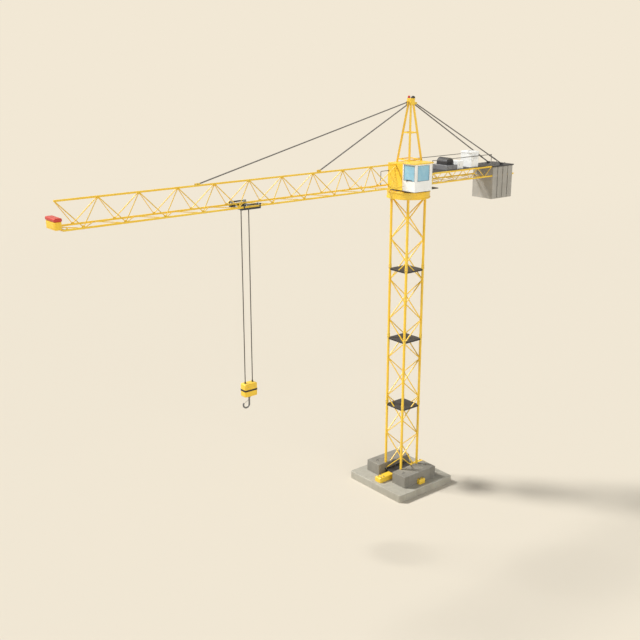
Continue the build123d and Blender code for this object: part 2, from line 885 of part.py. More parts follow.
nodes = {
    "foundation_slab": foundation_slab(),
    "ballast_block_cab_side": ballast_block(1),
    "ballast_block_far_side": ballast_block(-1),
    "base_cross_frame": base_cross_frame(),
    "mast_side_cab": mast_side("cab_side"),
    "mast_side_far": mast_side("far_side"),
    "mast_bracing_jib": mast_bracing("jib_side"),
    "mast_bracing_rear": mast_bracing("rear_side"),
    "mast_landings": mast_landings(),
    "slewing_ring": slewing_ring(),
    "turntable": turntable(),
    "turret_frame": turret_frame(),
    "cab_shell": cab_shell(),
    "cab_windows": cab_windows(),
    "cab_roof": cab_roof(),
    "tower_head": tower_head(),
    "beacon": beacon(),
    "sheave_cover": sheave_cover(),
    "jib_top_chord": top_chord(),
    "jib_bottom_chord_cab_side": bottom_chord(1),
    "jib_bottom_chord_far_side": bottom_chord(-1),
    "jib_bracing_cab_side": jib_side_bracing(1),
    "jib_bracing_far_side": jib_side_bracing(-1),
    "jib_bottom_bracing": jib_bottom_bracing(),
    "jib_tip_box": tip_box(),
    "jib_tip_buffer": tip_buffer(),
    "counter_jib_cab_side": counter_side(1),
    "counter_jib_far_side": counter_side(-1),
    "counter_jib_floor_frame": counter_floor_frame(),
    "counter_jib_deck": deck(),
    "handrail_cab_side": handrail(1),
    "handrail_far_side": handrail(-1),
    "root_handrail": root_handrail(),
    "winch_base": winch_base(),
    "winch_hood": winch_hood(),
    "small_cabinet": small_cabinet(),
    "tall_cabinet": tall_cabinet(),
    "counterweight_slabs": counterweight_slabs(),
    "counterweight_lid": counterweight_lid(),
    "long_fore_stay": fore_stay(long_stay_foot, stay_drop),
    "short_fore_stay": fore_stay(short_stay_foot, stay_drop + stay_head_split),
    "rear_stays": rear_stays(),
    "trolley_frame": trolley_frame(),
    "trolley_rollers": trolley_rollers(),
    "hoist_ropes": hoist_ropes(),
    "hook_block_housing": hook_block_housing(),
    "hook_block_band": hook_block_band(),
    "hook": hook(),
}

for name, shape in nodes.items():
    export_step(shape, f"parts/{name}.step")
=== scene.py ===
import json
import math
import bpy
from mathutils import Matrix, Vector
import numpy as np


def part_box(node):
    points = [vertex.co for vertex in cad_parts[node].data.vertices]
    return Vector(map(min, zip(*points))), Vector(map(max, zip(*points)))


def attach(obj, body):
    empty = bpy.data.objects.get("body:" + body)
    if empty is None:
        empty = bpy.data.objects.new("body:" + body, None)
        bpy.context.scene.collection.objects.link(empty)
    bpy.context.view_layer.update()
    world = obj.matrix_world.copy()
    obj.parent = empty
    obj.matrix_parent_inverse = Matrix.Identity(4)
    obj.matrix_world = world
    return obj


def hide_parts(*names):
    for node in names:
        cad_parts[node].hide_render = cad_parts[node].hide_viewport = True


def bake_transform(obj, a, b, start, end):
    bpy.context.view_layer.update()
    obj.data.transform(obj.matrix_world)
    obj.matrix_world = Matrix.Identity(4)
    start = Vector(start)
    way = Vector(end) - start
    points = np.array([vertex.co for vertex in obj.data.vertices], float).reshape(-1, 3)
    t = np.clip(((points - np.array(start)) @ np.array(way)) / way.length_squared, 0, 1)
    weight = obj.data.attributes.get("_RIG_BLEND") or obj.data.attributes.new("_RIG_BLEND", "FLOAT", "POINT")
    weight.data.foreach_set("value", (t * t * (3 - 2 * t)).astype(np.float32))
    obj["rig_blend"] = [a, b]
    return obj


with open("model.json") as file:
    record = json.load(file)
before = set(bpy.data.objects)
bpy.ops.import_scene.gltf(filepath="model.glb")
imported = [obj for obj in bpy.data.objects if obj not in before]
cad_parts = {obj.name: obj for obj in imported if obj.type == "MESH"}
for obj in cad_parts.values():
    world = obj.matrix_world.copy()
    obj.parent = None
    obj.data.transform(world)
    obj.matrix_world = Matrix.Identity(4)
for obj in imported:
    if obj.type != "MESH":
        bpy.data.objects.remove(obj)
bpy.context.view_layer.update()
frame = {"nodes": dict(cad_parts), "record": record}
nodes = frame["nodes"]
print("frame loaded with", len(nodes), "nodes")


class Signal:  # a socket that Python's operators can work on
    def __init__(self, finish, socket):
        self.finish = finish
        self.socket = socket

    def __add__(self, other):
        return self.finish.maths("ADD", self, other)

    __radd__ = __add__

    def __sub__(self, other):
        return self.finish.maths("SUBTRACT", self, other)

    def __rsub__(self, other):
        return self.finish.maths("SUBTRACT", other, self)

    def __mul__(self, other):
        return self.finish.maths("MULTIPLY", self, other)

    __rmul__ = __mul__


class Finish:  # one material, or the world, while its nodes are wired
    def __init__(self, owner):
        self.owner = owner
        owner.use_nodes = True
        self.tree = owner.node_tree
        self.tree.nodes.clear()

    def add(self, kind, settings=None, sockets=None, out=0):
        node = self.tree.nodes.new("ShaderNode" + kind)
        for key, value in (settings or {}).items():
            setattr(node, key, value)
        for key, value in (sockets or {}).items():
            if isinstance(value, Signal):
                self.tree.links.new(value.socket, node.inputs[key])
            else:
                node.inputs[key].default_value = value
        return Signal(self, node.outputs[out] if len(node.outputs) else None)

    def maths(self, operation, first, second, clamp=False):
        settings = {"operation": operation, "use_clamp": clamp}
        return self.add("Math", settings, {0: first, 1: second})

    def swing(self, value, spread):  # a texture's swing about its middle
        return (value - 0.5) * spread

    def mix(self, amount, first, second):
        sockets = {0: amount, 6: first, 7: second}  # 6, 7 and the output 2 are the node's colour sockets
        return self.add("Mix", {"data_type": "RGBA"}, sockets, out=2)

    def place(self, stretch=(1, 1, 1), turn=(0, 0, 0)):
        coordinates = self.add("TexCoord", out="Object")
        return self.add("Mapping", None, {"Vector": coordinates, "Rotation": turn, "Scale": stretch})

    def noise(self, scale, detail, rough=0.55, stretch=(1, 1, 1)):
        sockets = {"Vector": self.place(stretch), "Scale": scale, "Detail": detail, "Roughness": rough}
        return self.add("TexNoise", None, sockets)

    def cells(self, scale, out):
        return self.add("TexVoronoi", None, {"Vector": self.place(), "Scale": scale}, out=out)

    def wave(self, scale, turn=(0, 0, 0), direction="X"):  # turn in degrees
        turn = [math.radians(angle) for angle in turn]
        settings = {"bands_direction": direction}
        return self.add("TexWave", settings, {"Vector": self.place(turn=turn), "Scale": scale}, out="Fac")

    def band(self, value, low, high):  # 0 below low, 1 above high
        settings = {"interpolation_type": "SMOOTHSTEP"}
        return self.add("MapRange", settings, {"Value": value, "From Min": low, "From Max": high})

    def flat(self):  # the surface's own normal
        return self.add("NewGeometry", out="Normal")

    def edges(self, radius, gain=6):  # a rounded normal, and how far it leaves the flat one
        rounded = self.add("Bevel", {"samples": 4}, {"Radius": radius})
        settings = {"operation": "DOT_PRODUCT"}
        likeness = self.add("VectorMath", settings, {0: rounded, 1: self.flat()}, out="Value")
        return rounded, self.maths("MULTIPLY", 1 - likeness, gain, clamp=True)

    def bump(self, height, strength, distance, normal):
        sockets = {"Height": height, "Strength": strength, "Distance": distance, "Normal": normal}
        return self.add("Bump", None, sockets)

    def close(self, shader, output="OutputMaterial"):
        self.add(output, None, {"Surface": shader})
        return self.owner

    def principled(self, sockets):
        return self.close(self.add("BsdfPrincipled", None, sockets))


def startFinish(name):
    return Finish(bpy.data.materials.new(name))


def tone(code):  # a display colour such as f0b030 as linear light
    parts = [int(code[i:i + 2], 16) / 255 for i in (0, 2, 4)]
    return tuple(p / 12.92 if p <= 0.04045 else ((p + 0.055) / 1.055) ** 2.4 for p in parts) + (1.0,)


# paint: its colour, its faded patches, the dust that rain leaves, and the painted highlight that lightens its
# edges
paintLooks = {
    "yellowPaint": dict(colour="f1c430", faded="f3cc43", dust="d9b46a", litEdge="f9d77f", rough=0.42, coat=0.12),
    "whitePaint": dict(colour="f4f5f3", faded="eeeeea", dust="d6d1c5", litEdge="ffffff", rough=0.38, coat=0.2),
    "greyPaint": dict(colour="75767a", faded="7d7e80", dust="8f8b82", litEdge="a8a8a6", rough=0.45, coat=0.05),
    "redPaint": dict(colour="c2352a", faded="cc4436", dust="b05c4d", litEdge="e0847a", rough=0.42, coat=0.1),
    "darkSteel": dict(colour="2c2c2f", faded="343437", dust="4e4c49", litEdge="6a6a6c", rough=0.55, coat=0.0),
    "treadSteel": dict(colour="2a2829", faded="312f30", dust="484542", litEdge="6e6c6c", rough=0.55, coat=0.0,
                       tread=9.0),
    "blackCover": dict(colour="1b1b1c", faded="232324", dust="3c3a38", litEdge="4c4c4c", rough=0.5, coat=0.0),
}
paintWear = dict(edge=0.02, dust=0.22, edgeHighlight=0.45, mottle=0.16, dustDulls=0.4, coatRough=0.25)


def paintFinish(name):
    look = paintLooks[name]
    f = startFinish(name)
    rounded, edgeHighlight = f.edges(paintWear["edge"])
    broad = f.noise(scale=0.45, detail=3)
    fine = f.noise(scale=7.0, detail=5, rough=0.6)
    streak = f.noise(scale=1.0, detail=4, rough=0.6, stretch=(4.0, 4.0, 0.35))
    dust = f.band(streak, low=0.5, high=0.78) * paintWear["dust"]
    # painted highlight: the edges are lightened towards a paler tone, in patches set by fine noise
    litEdge = edgeHighlight * f.band(fine, low=0.35, high=0.7) * paintWear["edgeHighlight"]
    colour = f.mix(f.band(broad, low=0.38, high=0.66), tone(look["colour"]), tone(look["faded"]))
    colour = f.mix(dust, colour, tone(look["dust"]))
    colour = f.mix(litEdge, colour, tone(look["litEdge"]))
    rough = look["rough"] + f.swing(fine, paintWear["mottle"]) + dust * paintWear["dustDulls"]
    peel = f.noise(scale=60.0, detail=2)
    normal = f.bump(peel, strength=0.05, distance=0.002, normal=rounded)
    if "tread" in look:  # raised lozenges of a chequer plate, on its upper face alone
        left, right = (f.wave(look["tread"], turn=(0, 0, angle)) for angle in (45, -45))
        upward = f.add("SeparateXYZ", None, {"Vector": f.flat()}, out="Z")
        lozenges = f.band(left * right, low=0.35, high=0.75) * f.band(upward, low=0.7, high=0.9)
        normal = f.bump(lozenges, strength=0.6, distance=0.006, normal=normal)
    return f.principled({"Base Color": colour, "Roughness": rough, "Normal": normal,
                         "Coat Weight": look["coat"], "Coat Roughness": paintWear["coatRough"]})


steelLooks = {
    "galvanisedSteel": dict(colour="7d7b78", dull="6c6a67", rough=0.45, metal=0.35, spangle=22.0),
    "staySteel": dict(colour="6e6b68", dull="656260", rough=0.58, metal=0.2, spangle=34.0),
    "rollerSteel": dict(colour="a9b1b1", dull="8f9797", rough=0.34, metal=0.45, spangle=14.0),
    "hookSteel": dict(colour="7c7c7c", dull="626262", rough=0.4, metal=0.55, spangle=9.0),
    "boltSteel": dict(colour="8c8a84", dull="716f69", rough=0.4, metal=0.6, spangle=40.0),
}
steelWear = dict(edge=0.012, dull=0.8, edgeHighlight=0.35, bright="c4c4c2", patchMottle=0.12, fineMottle=0.1)


def steelFinish(name):
    look = steelLooks[name]
    f = startFinish(name)
    rounded, edgeHighlight = f.edges(steelWear["edge"])
    patch = f.add("SeparateColor", None, {"Color": f.cells(look["spangle"], out="Color")})
    fine = f.noise(scale=30.0, detail=4)
    colour = f.mix(patch * steelWear["dull"], tone(look["colour"]), tone(look["dull"]))
    # painted highlight: every edge is lightened towards a pale grey
    colour = f.mix(edgeHighlight * steelWear["edgeHighlight"], colour, tone(steelWear["bright"]))
    rough = look["rough"] + f.swing(patch, steelWear["patchMottle"]) + f.swing(fine, steelWear["fineMottle"])
    normal = f.bump(fine, strength=0.08, distance=0.002, normal=rounded)
    return f.principled({"Base Color": colour, "Roughness": rough, "Metallic": look["metal"],
                         "Normal": normal})


ropeLook = dict(hollow="4d4842", crown="6e6860", grime="4f4944", grimy=0.3, wires=26.0, lean=(0, 35, 20),
                rough=0.5, mottle=0.15, metal=0.3)


def ropeFinish():
    f = startFinish("wireRope")
    wires = f.wave(ropeLook["wires"], turn=ropeLook["lean"], direction="Z")
    fine = f.noise(scale=18.0, detail=4)
    # painted shade: the grooves between the wires are coloured darker and the crowns lighter
    colour = f.mix(f.band(wires, low=0.2, high=0.8), tone(ropeLook["hollow"]), tone(ropeLook["crown"]))
    colour = f.mix(fine * ropeLook["grimy"], colour, tone(ropeLook["grime"]))
    normal = f.bump(wires, strength=0.3, distance=0.002, normal=f.flat())
    return f.principled({"Base Color": colour, "Roughness": ropeLook["rough"] + fine * ropeLook["mottle"],
                         "Metallic": ropeLook["metal"], "Normal": normal})


concreteLooks = {
    "slabConcrete": dict(colour="a29d8f", light="aeaa9c", stainAndPoreShade="8c8678"),
    "blockConcrete": dict(colour="837f75", light="908c81", stainAndPoreShade="6d6960"),
    "weightConcrete": dict(colour="a19d94", light="aca89f", stainAndPoreShade="8b877e"),
}
concreteWear = dict(edge=0.03, pores=16.0, run=0.45, pit=0.5, pitDepth=0.9, edgeHighlight=0.4, litConcreteEdge="c9c4b8",
                    rough=0.82, mottle=0.12)


def concreteFinish(name):
    look = concreteLooks[name]
    f = startFinish(name)
    rounded, edgeHighlight = f.edges(concreteWear["edge"])
    cloud = f.noise(scale=0.9, detail=5, rough=0.6)
    grain = f.noise(scale=38.0, detail=3, rough=0.7)
    streak = f.noise(scale=1.2, detail=4, rough=0.6, stretch=(3.0, 3.0, 0.3))
    run = f.band(streak, low=0.52, high=0.75)
    pit = 1 - f.band(f.cells(concreteWear["pores"], out="Distance"), low=0.05, high=0.17)
    colour = f.mix(f.band(cloud, low=0.35, high=0.68), tone(look["colour"]), tone(look["light"]))
    colour = f.mix(run * concreteWear["run"], colour, tone(look["stainAndPoreShade"]))
    # painted shade: the pores are darkened halfway towards the darker tone, as shade in the pits
    colour = f.mix(pit * concreteWear["pit"], colour, tone(look["stainAndPoreShade"]))
    # painted highlight: every edge is lightened towards a pale tone
    colour = f.mix(edgeHighlight * concreteWear["edgeHighlight"], colour, tone(concreteWear["litConcreteEdge"]))
    height = grain - pit * concreteWear["pitDepth"]
    normal = f.bump(height, strength=0.25, distance=0.012, normal=rounded)
    rough = concreteWear["rough"] + grain * concreteWear["mottle"]
    return f.principled({"Base Color": colour, "Roughness": rough, "Normal": normal})


glassLook = dict(clear="90c8e0", smeared="a2d3e6", alpha=0.86, rough=0.06, mottle=0.08, specular=0.6,
                 coat=0.6)


def glassFinish():
    f = startFinish("windowGlass")
    smear = f.noise(scale=2.2, detail=4, rough=0.6, stretch=(1.0, 1.0, 0.5))
    colour = f.mix(f.band(smear, low=0.35, high=0.7), tone(glassLook["clear"]), tone(glassLook["smeared"]))
    rough = glassLook["rough"] + smear * glassLook["mottle"]
    return f.principled({"Base Color": colour, "Roughness": rough, "Alpha": glassLook["alpha"],
                         "Specular IOR Level": glassLook["specular"], "Coat Weight": glassLook["coat"]})


lensLook = dict(crown="d8382b", hollow="b3251c", ribs=14.0, deepens=0.4, rough=0.18, mottle=0.06, coat=0.5)


def lensFinish():
    f = startFinish("redLens")
    ribs = f.wave(lensLook["ribs"], direction="Z")
    colour = f.mix(ribs * lensLook["deepens"], tone(lensLook["crown"]), tone(lensLook["hollow"]))
    normal = f.bump(ribs, strength=0.3, distance=0.004, normal=f.flat())
    return f.principled({"Base Color": colour, "Roughness": lensLook["rough"] + ribs * lensLook["mottle"],
                         "Coat Weight": lensLook["coat"], "Normal": normal})


finishes = {name: paintFinish(name) for name in paintLooks}
finishes.update({name: steelFinish(name) for name in steelLooks})
finishes.update({name: concreteFinish(name) for name in concreteLooks})
finishes.update({"wireRope": ropeFinish(), "windowGlass": glassFinish(), "redLens": lensFinish()})

slotFinishes = {
    "yellow_paint": "yellowPaint", "white_paint": "whitePaint", "grey_paint": "greyPaint",
    "red_paint": "redPaint", "dark_steel": "darkSteel", "galvanised_steel": "galvanisedSteel",
    "roller_steel": "rollerSteel", "hook_steel": "hookSteel", "wire_rope": "wireRope",
    "window_glass": "windowGlass", "red_lens": "redLens", "black_cover": "blackCover",
    "slab_concrete": "slabConcrete", "block_concrete": "blockConcrete",
}
nodeFinishes = {  # nodes whose finish differs from their slot's
    "counterweight_slabs": "weightConcrete", "hook_block_band": "blackCover", "mast_landings": "treadSteel",
    "counter_jib_deck": "treadSteel", "long_fore_stay": "staySteel", "short_fore_stay": "staySteel",
    "rear_stays": "staySteel",
}
finishSlots = {finish: slot for slot, finish in slotFinishes.items()}
finishSlots.update(staySteel="galvanised_steel", boltSteel="galvanised_steel")

for row in frame["record"]["subparts"]:
    name = nodeFinishes.get(row["node"], slotFinishes[row["material_slot"]])
    for place in nodes[row["node"]].material_slots:
        place.material = finishes[name]
print("finishes laid on", len(nodes), "nodes")


def deselectAll():
    bpy.ops.object.select_all(action="DESELECT")


def activate(pieces):
    deselectAll()
    for piece in pieces:
        piece.select_set(True)
    bpy.context.view_layer.objects.active = pieces[0]


def editAll():  # edit mode with the whole mesh selected
    bpy.ops.object.mode_set(mode="EDIT")
    bpy.ops.mesh.select_all(action="SELECT")


def editDone():
    bpy.ops.object.mode_set(mode="OBJECT")


def named(name):
    piece = bpy.context.object
    piece.name = name
    piece.data.name = name
    return piece


def settle():  # the place goes into the mesh
    bpy.ops.object.transform_apply(location=True, rotation=True, scale=True)


def block(name, low, high, bevel=0.0):
    deselectAll()
    low, high = Vector(low), Vector(high)
    bpy.ops.mesh.primitive_cube_add(size=1, location=(low + high) / 2)
    piece = named(name)
    piece.scale = high - low
    settle()
    if bevel:
        editAll()
        bpy.ops.mesh.bevel(offset=bevel, segments=2, affect="EDGES")
        editDone()
    return piece


def rod(name, start, end, radius, sides, bevel=0.0):
    deselectAll()
    start, end = Vector(start), Vector(end)
    run = end - start
    turn = run.to_track_quat("Z", "Y").to_euler()
    bpy.ops.mesh.primitive_cylinder_add(vertices=sides, radius=radius, depth=run.length,
                                        location=(start + end) / 2, rotation=turn)
    piece = named(name)
    settle()
    if bevel:
        rim = piece.modifiers.new("rim", "BEVEL")
        rim.width = bevel
        rim.segments = 2
        rim.limit_method = "ANGLE"
        rim.angle_limit = math.radians(60)
        bpy.ops.object.modifier_apply(modifier="rim")
    return piece


def disc(name, low, high, radius, sides, bevel=0.0):  # a rod that stands on the z axis
    return rod(name, (0, 0, low), (0, 0, high), radius, sides, bevel)


def copies(name, source, places):  # the source mesh at each place, as one piece
    made = []
    for place in places:
        copy = source.copy()
        copy.data = source.data.copy()
        copy.data.transform(place)
        bpy.context.scene.collection.objects.link(copy)
        made.append(copy)
    bpy.data.objects.remove(source)
    return join(name, made)


def join(name, parts):
    activate(parts)
    if len(parts) > 1:
        bpy.ops.object.join()
    return named(name)


def dress(piece, body, finish, slot=None):  # the slot, the finish's own unless another is named, is worked out but not used
    slot = slot or finishSlots[finish]
    activate([piece])
    editAll()
    bpy.ops.mesh.normals_make_consistent(inside=False)
    editDone()
    bpy.ops.object.shade_smooth_by_angle(angle=math.radians(35))
    piece.data.materials.clear()
    piece.data.materials.append(finishes[finish])
    if body:
        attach(piece, body)
    return piece


def fit(name, source, places, body, finish, slot=None):  # copies of one part, dressed as a piece
    return dress(copies(name, source, places), body, finish, slot)


def pick(piece, test):  # enters edit mode with the faces that pass the test
    activate([piece])
    bpy.context.tool_settings.mesh_select_mode = (False, False, True)
    bpy.ops.object.mode_set(mode="EDIT")
    bpy.ops.mesh.select_all(action="DESELECT")
    editDone()
    for face in piece.data.polygons:
        face.select = test(face)
    bpy.ops.object.mode_set(mode="EDIT")


def towards(direction):  # a test for the faces that look one way
    direction = Vector(direction)
    return lambda face: face.normal.dot(direction) > 0.95


def press(piece, direction, margin, depth):  # insets the faces that look one way, and sinks or raises them
    pick(piece, towards(direction))
    bpy.ops.mesh.inset(thickness=margin, depth=depth)
    editDone()
    return piece


def at(place, direction=(0, 0, 1), roll=0.0):  # stands a part made on z = 0 at a place, its top that way
    turn = Vector(direction).to_track_quat("Z", "Y").to_matrix().to_4x4()
    return Matrix.Translation(place) @ turn @ Matrix.Rotation(roll, 4, "Z")


def frameAt(place, across, up):  # the same, with the part's x turned to a known direction
    across, up = Vector(across).normalized(), Vector(up).normalized()
    return Matrix.Translation(place) @ Matrix((across, up.cross(across), up)).transposed().to_4x4()


def corners(x, y):  # a place and its mirror images
    return [(way * x, side * y) for way in (-1, 1) for side in (-1, 1)]


def middle(node):
    low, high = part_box(node)
    return (low + high) / 2


boltShares = {  # of the bolt's size
    "washer": dict(low=0.0, high=0.22, radius=1.15, sides=12),
    "nut": dict(low=0.2, high=0.85, radius=0.95, sides=6, chamfer=0.12, rise=0.1),
    "stud": dict(low=0.9, high=1.25, radius=0.48, sides=8, chamfer=0.1, rise=0.06),
}


def bolt(size):  # washer, chamfered nut and the end of the stud
    parts = []
    for name, share in boltShares.items():
        part = disc(name, size * share["low"], size * share["high"], size * share["radius"], share["sides"])
        if "chamfer" in share:
            press(part, (0, 0, 1), size * share["chamfer"], size * share["rise"])
        parts.append(part)
    return join("bolt", parts)


def eye(width, bar, drop=0.15):  # a lifting loop on z = 0, cut off that share of its width below its middle
    deselectAll()
    bpy.ops.mesh.primitive_torus_add(major_radius=width / 2, minor_radius=bar, major_segments=20,
                                     minor_segments=8, rotation=(math.radians(90), 0, 0))
    loop = named("eye")
    settle()
    editAll()
    bpy.ops.mesh.bisect(plane_co=(0, 0, -width * drop), plane_no=(0, 0, 1), clear_inner=True, use_fill=True)
    bpy.ops.transform.translate(value=(0, 0, width * drop))
    editDone()
    return loop


def gusset(length, height, thick, narrows=0.45, bevel=0.003):  # a plate on z = 0 with a shorter top edge
    plate = block("gusset", (-length / 2, -thick / 2, 0), (length / 2, thick / 2, height))
    pick(plate, towards((0, 0, 1)))
    bpy.ops.transform.resize(value=(narrows, 1, 1))
    bpy.ops.mesh.select_all(action="SELECT")
    bpy.ops.mesh.bevel(offset=bevel, segments=1, affect="EDGES")
    editDone()
    return plate


def panel(name, low, high, direction, margin, sink, bevel=0.005):  # a sheet door with a sunk middle
    return press(block(name, low, high, bevel), direction, margin, -sink)


louvre = dict(blade=0.55, droop=0.3, bevel=0.003)  # blade and droop as shares of the pitch


def slats(name, low, high, count, direction):  # a bank of louvres, each blade tipped outwards at its foot
    low, high = Vector(low), Vector(high)
    pitch = (high.z - low.z) / count
    blade = block("blade", low, (high.x, high.y, low.z + pitch * louvre["blade"]), louvre["bevel"])
    pick(blade, towards(direction))
    bpy.ops.transform.translate(value=(0, 0, -pitch * louvre["droop"]))
    editDone()
    return copies(name, blade, [Matrix.Translation((0, 0, pitch * k)) for k in range(count)])


grip = dict(bevel=0.3, stub=0.8, reach=0.4)  # shares of the bar's radius and, for reach, of its length


def pull(length, stand, thick=0.014):  # a bar on two stubs, standing on z = 0 and running along x
    ends = (-length / 2, 0, stand), (length / 2, 0, stand)
    bar = rod("bar", *ends, thick, sides=10, bevel=thick * grip["bevel"])
    reach = length * grip["reach"]
    stubs = [rod("stub", (x, 0, 0), (x, 0, stand), thick * grip["stub"], sides=8) for x in (-reach, reach)]
    return join("pull", [bar] + stubs)


def surround(low, high, bar, corner=0.2):  # four bars round a flat opening; corner is a share of a bar
    low, high = Vector(low), Vector(high)
    along = 1 if high.x - low.x < high.y - low.y else 0
    bars = []
    for axis in (2, along):
        for edge in (low[axis], high[axis]):
            a, b = low.copy(), high.copy()
            a[along] -= bar / 2
            b[along] += bar / 2
            a[axis], b[axis] = edge - bar / 2, edge + bar / 2
            bars.append(block("bar", a, b, bar * corner))
    return bars


seat = 0.002  # how far a fitting reaches into the face that it sits on
ropes = dict(strands=6, strand=0.0125, offset=0.0235, lay=0.62, sides=6, steps=12)


def ropeAxes():  # x of the two ropes, whose CAD bars fill the ends of their box
    low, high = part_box("hoist_ropes")
    return low.x + high.y, high.x - high.y


def hoistRopes():
    low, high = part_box("hoist_ropes")
    length = high.z - low.z
    turns = int(length / ropes["lay"])
    deselectAll()
    bpy.ops.mesh.primitive_circle_add(vertices=ropes["sides"], radius=ropes["strand"],
                                      location=(ropes["offset"], 0, 0))
    strand = named("strand")
    settle()
    twist = strand.modifiers.new("twist", "SCREW")
    twist.screw_offset = length / turns
    twist.iterations = turns
    twist.steps = twist.render_steps = ropes["steps"]
    bpy.ops.object.modifier_apply(modifier="twist")
    editAll()
    bpy.ops.mesh.fill_holes(sides=0)
    editDone()
    places = []
    for x in ropeAxes():
        for k in range(ropes["strands"]):
            turn = Matrix.Rotation(math.tau * k / ropes["strands"], 4, "Z")
            places.append(Matrix.Translation((x, 0, low.z)) @ turn)
    piece = fit("hoistRopes", strand, places, None, "wireRope")
    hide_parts("hoist_ropes")
    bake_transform(piece, "trolley", "hook_block", start=(low.x, 0, high.z), end=(low.x, 0, low.z))
    shares = piece.data.attributes["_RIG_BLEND"].data
    for point, share in zip(piece.data.vertices, shares):  # a taut rope takes up the hoist evenly
        share.value = (high.z - point.co.z) / length


ropeEnds = dict(base=0.062, neck=0.044, height=0.15, lip=0.012, pin=0.016, pinHalf=0.085, pinRise=0.06)


def ropeSockets():  # cast cones that hold the rope ends on the hook block
    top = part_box("hook_block_housing")[1].z
    deselectAll()
    bpy.ops.mesh.primitive_cone_add(vertices=16, radius1=ropeEnds["base"], radius2=ropeEnds["neck"],
                                    depth=ropeEnds["height"], location=(0, 0, ropeEnds["height"] / 2))
    cone = named("cone")
    settle()
    press(cone, (0, 0, 1), ropeEnds["lip"], -ropeEnds["lip"])
    half, rise = ropeEnds["pinHalf"], ropeEnds["pinRise"]
    pin = rod("pin", (0, -half, rise), (0, half, rise), ropeEnds["pin"], sides=10, bevel=0.005)
    places = [at((x, 0, top)) for x in ropeAxes()]
    fit("ropeSockets", join("socket", [cone, pin]), places, "hook_block", "darkSteel")


hoistRopes()
ropeSockets()
print("ropes hung")

mast = dict(landings=(6.758, 12.440, 18.123), sleeveWall=0.016, sleeveLong=0.36, sleeveRise=0.245,
            margin=0.03, sink=0.006, bevel=0.008, bolt=0.026, boltRises=(0.09, 0.27))


def mastLegs():  # from the mast's axis to a leg's, and half a leg's width
    low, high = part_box("mast_side_cab")
    return (low.y + high.y) / 2, (high.y - low.y) / 2


def mastSplices():  # sleeves and bolts where one mast section is pinned on the next, above each landing
    axis, legHalf = mastLegs()
    half = legHalf + mast["sleeveWall"]
    out = half - mast["sink"]
    sleeve = block("sleeve", (-half, -half, 0), (half, half, mast["sleeveLong"]), mast["bevel"])
    for side in ((1, 0, 0), (-1, 0, 0), (0, 1, 0), (0, -1, 0)):
        press(sleeve, side, mast["margin"], -mast["sink"])
    legs, studs = [], []
    for z in mast["landings"]:
        for x, y in corners(axis, axis):
            low = Vector((x, y, z + mast["sleeveRise"] - mast["sleeveLong"] / 2))
            legs.append(at(low))
            for rise in mast["boltRises"]:
                studs.append(at(low + Vector((math.copysign(out, x), 0, rise)), (x, 0, 0)))
                studs.append(at(low + Vector((0, math.copysign(out, y), rise)), (0, y, 0)))
    fit("mastSplices", sleeve, legs, "base", "yellowPaint")
    fit("mastSpliceBolts", bolt(mast["bolt"]), studs, "base", "boltSteel")


bracing = dict(nodes=14, plate=(0.2, 0.1, 0.014))


def mastGussets():  # plates in the corner between each pair of braces and the leg
    low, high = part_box("base_cross_frame")[1].z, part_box("mast_side_cab")[1].z
    axis, legHalf = mastLegs()
    places = []
    for k in range(1, bracing["nodes"]):
        z = low + k * (high - low) / bracing["nodes"]
        way = 1 if k % 2 else -1
        inner = way * (axis - legHalf)
        for x, y, up in ((inner, axis, (-way, 0, 0)), (-inner, -axis, (way, 0, 0)),
                         (axis, inner, (0, -way, 0)), (-axis, -inner, (0, way, 0))):
            places.append(frameAt((x, y, z), (0, 0, 1), up))
    fit("mastGussets", gusset(*bracing["plate"]), places, "base", "yellowPaint")


mastSplices()
mastGussets()
print("mast fittings set")

foot = dict(beamBolt=0.05, beamX=(2.42, 2.12), beamY=2.4, beamAcross=0.18, plateThick=0.04, plateBolt=0.034,
            plateX=(-1.02, -0.5, 0, 0.5, 1.02), plateY=0.66, loop=(0.2, 0.02), loopX=1.25, loopY=1.55)


def footBolts():  # on the cross beams and the plate between the ballast blocks, and the blocks' loops
    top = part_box("base_cross_frame")[1].z
    beam, plate = [], []
    for side in (-1, 1):
        for across in (-foot["beamAcross"], foot["beamAcross"]):
            beam += [at((side * x, across, top)) for x in foot["beamX"]]
            beam.append(at((across, side * foot["beamY"], top)))
        plate += [at((x, side * foot["plateY"], top + foot["plateThick"])) for x in foot["plateX"]]
    fit("beamBolts", bolt(foot["beamBolt"]), beam, "base", "boltSteel")
    fit("plateBolts", bolt(foot["plateBolt"]), plate, "base", "boltSteel")
    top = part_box("ballast_block_cab_side")[1].z
    loops = [at((x, y, top)) for x, y in corners(foot["loopX"], foot["loopY"])]
    fit("ballastLoops", eye(*foot["loop"]), loops, "base", "galvanisedSteel")


ring = dict(race=0.06, radius=1.578, bolts=30, size=0.028)


def ringBolts():  # on the ring's top, round the race that stands on it
    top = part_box("slewing_ring")[1].z - ring["race"]
    places = []
    for k in range(ring["bolts"]):
        turn = math.tau * k / ring["bolts"]
        x, y = ring["radius"] * math.cos(turn), ring["radius"] * math.sin(turn)
        places.append(at((x, y, top), roll=turn))
    fit("ringBolts", bolt(ring["size"]), places, "base", "boltSteel")


footBolts()
ringBolts()
print("foot and ring bolted down")

turret = dict(shoulder=-0.96, doorHalf=0.5, doorZ=(24.72, 26.2), doorOut=0.014, doorSunk=(0.05, 0.006),
              ventY=(0.46, 0.76), ventZ=(24.8, 25.7), ventOut=0.018, blades=9,
              handle=(0.38, 25.45), handleOut=0.012, pull=(0.22, 0.05))


